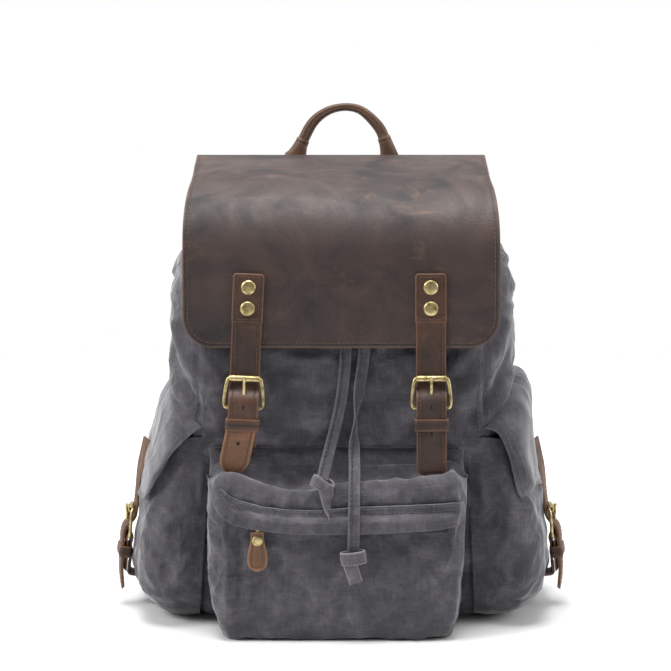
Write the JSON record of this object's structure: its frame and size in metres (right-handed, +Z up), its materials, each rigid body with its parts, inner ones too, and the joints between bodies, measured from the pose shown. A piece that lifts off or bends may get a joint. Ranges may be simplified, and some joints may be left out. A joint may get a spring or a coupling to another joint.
{
  "type": "backpack",
  "caption": "Canvas rucksack with a leather lid on buckled straps, a drawstring mouth, a zipped front pocket, flapped side pockets and padded shoulder straps.",
  "frame": {"origin": "middle of the bag's base, on the floor", "axes": "+Z up, -Y the front with the lid straps, +X to the right seen from the front"},
  "size_m": [0.4058, 0.269, 0.4456],
  "materials": {
    "canvas": "waxed cotton canvas, matt with a dry rub sheen",
    "tape": "folded canvas tape, edge stitched",
    "lining_cloth": "plain woven lining",
    "pad_mesh": "quilted canvas over foam",
    "webbing_weave": "dense woven webbing",
    "zip_cloth": "woven zip tape",
    "lid_hide": "oiled pull-up leather, scuffed",
    "strap_hide": "oiled leather with waxed edges",
    "pull_hide": "oiled leather, light",
    "antique_brass": "antique brass, worn",
    "board": "stiff plastic board"
  },
  "bodies": {
    "bag": {"bag_front_panel": "canvas", "bag_back_panel": "canvas", "bag_side_gussets": "canvas", "bag_base_panel": "canvas", "base_stiffener": "board", "bag_lining": "lining_cloth", "collar": "canvas", "drawstring_tunnel": "canvas", "drawstring_loop": "tape", "eyelets": "antique_brass", "back_pad": "pad_mesh", "lid_anchor_strip": "lid_hide", "strap_yoke": "strap_hide", "strap_anchor_tabs": "strap_hide", "drawstring_left": "tape", "drawstring_right": "tape", "drawstring_knots": "tape", "front_pocket": "canvas", "zip_cover_band": "canvas", "zip_tapes": "zip_cloth", "zip_teeth": "antique_brass", "side_pocket_left": "canvas", "side_pocket_right": "canvas", "snap_tabs": "strap_hide"},
    "lid": {"lid_leather": "lid_hide", "lid_lining": "lining_cloth", "strap_heads": "strap_hide", "lid_rivets": "antique_brass"},
    "lid_strap_left": {"strap_left": "strap_hide", "buckle_left": "antique_brass", "buckle_leathers_left": "strap_hide"},
    "lid_roller_left": {"roller_left": "antique_brass"},
    "lid_prong_left": {"prong_left": "antique_brass"},
    "side_flap_left": {"flap_left": "canvas", "flap_strap_left": "strap_hide", "flap_buckle_left": "antique_brass", "flap_leathers_left": "strap_hide"},
    "side_roller_left": {"flap_roller_left": "antique_brass"},
    "side_prong_left": {"flap_prong_left": "antique_brass"},
    "shoulder_strap_left": {"shoulder_pad_left": "pad_mesh", "adjuster_left": "antique_brass", "webbing_left": "webbing_weave"},
    "lid_strap_right": {"strap_right": "strap_hide", "buckle_right": "antique_brass", "buckle_leathers_right": "strap_hide"},
    "lid_roller_right": {"roller_right": "antique_brass"},
    "lid_prong_right": {"prong_right": "antique_brass"},
    "side_flap_right": {"flap_right": "canvas", "flap_strap_right": "strap_hide", "flap_buckle_right": "antique_brass", "flap_leathers_right": "strap_hide"},
    "side_roller_right": {"flap_roller_right": "antique_brass"},
    "side_prong_right": {"flap_prong_right": "antique_brass"},
    "shoulder_strap_right": {"shoulder_pad_right": "pad_mesh", "adjuster_right": "antique_brass", "webbing_right": "webbing_weave"},
    "zip_runner": {"zip_slider": "antique_brass"},
    "zip_pull": {"pull_tab": "pull_hide", "pull_rivet": "antique_brass"},
    "carry_handle": {"handle": "strap_hide"}
  },
  "joints": [
    {"name": "lid_hinge", "type": "hinge", "parent": "bag", "child": "lid", "pos_m": [0, 0.08125, 0.4003], "axis": [-1, 0, 0], "range_deg": [0, 90]},
    {"name": "lid_strap_left_lift", "type": "hinge", "parent": "lid", "child": "lid_strap_left", "pos_m": [-0.08207, -0.09518, 0.27664], "axis": [-0.999, 0.003, 0.0453], "range_deg": [0, 60]},
    {"name": "lid_roller_left_spin", "type": "hinge", "parent": "lid_strap_left", "child": "lid_roller_left", "pos_m": [-0.08422, -0.10262, 0.22968], "axis": [0.999, -0.003, -0.0453], "continuous": true},
    {"name": "lid_prong_left_lift", "type": "hinge", "parent": "lid_strap_left", "child": "lid_prong_left", "pos_m": [-0.0854, -0.10435, 0.20377], "axis": [0.999, -0.003, -0.0453], "range_deg": [0, 8]},
    {"name": "lid_strap_right_lift", "type": "hinge", "parent": "lid", "child": "lid_strap_right", "pos_m": [0.07801, -0.09518, 0.27664], "axis": [-1, -0.0005, -0.007], "range_deg": [0, 60]},
    {"name": "lid_roller_right_spin", "type": "hinge", "parent": "lid_strap_right", "child": "lid_roller_right", "pos_m": [0.07834, -0.10262, 0.22963], "axis": [1, 0.0005, 0.007], "continuous": true},
    {"name": "lid_prong_right_lift", "type": "hinge", "parent": "lid_strap_right", "child": "lid_prong_right", "pos_m": [0.07852, -0.10436, 0.20369], "axis": [1, 0.0005, 0.007], "range_deg": [0, 8]},
    {"name": "side_flap_left_lift", "type": "hinge", "parent": "bag", "child": "side_flap_left", "pos_m": [-0.1545, -0.004, 0.206], "axis": [0, 1, 0], "range_deg": [0, 100]},
    {"name": "side_roller_left_spin", "type": "hinge", "parent": "side_flap_left", "child": "side_roller_left", "pos_m": [-0.19015, -0.004, 0.09089], "axis": [0, 1, 0], "continuous": true},
    {"name": "side_prong_left_lift", "type": "hinge", "parent": "side_flap_left", "child": "side_prong_left", "pos_m": [-0.19306, -0.004, 0.06505], "axis": [0, -1, 0], "range_deg": [0, 8]},
    {"name": "side_flap_right_lift", "type": "hinge", "parent": "bag", "child": "side_flap_right", "pos_m": [0.1545, -0.004, 0.206], "axis": [0, -1, 0], "range_deg": [0, 100]},
    {"name": "side_roller_right_spin", "type": "hinge", "parent": "side_flap_right", "child": "side_roller_right", "pos_m": [0.19015, -0.004, 0.09089], "axis": [0, 1, 0], "continuous": true},
    {"name": "side_prong_right_lift", "type": "hinge", "parent": "side_flap_right", "child": "side_prong_right", "pos_m": [0.19306, -0.004, 0.06505], "axis": [0, 1, 0], "range_deg": [0, 8]},
    {"name": "zip_slide", "type": "slide", "parent": "bag", "child": "zip_runner", "axis": [1, 0, 0], "range_m": [0, 0.1615]},
    {"name": "zip_pull_lift", "type": "hinge", "parent": "zip_runner", "child": "zip_pull", "pos_m": [-0.073, -0.1318, 0.0984], "axis": [-1, 0, 0], "range_deg": [0, 75]},
    {"name": "handle_fold", "type": "hinge", "parent": "bag", "child": "carry_handle", "pos_m": [0, 0.0854, 0.391], "axis": [-1, 0, 0], "range_deg": [0, 65], "stiffness_Nm_per_rad": 0.03},
    {"name": "shoulder_strap_left_swing", "type": "hinge", "parent": "bag", "child": "shoulder_strap_left", "pos_m": [-0.046, 0.0914, 0.366], "axis": [-0.2261, -0.0116, -0.974], "range_deg": [-12, 4]},
    {"name": "shoulder_strap_right_swing", "type": "hinge", "parent": "bag", "child": "shoulder_strap_right", "pos_m": [0.046, 0.0914, 0.366], "axis": [0.2261, -0.0116, -0.974], "range_deg": [-4, 12]}
  ]
}
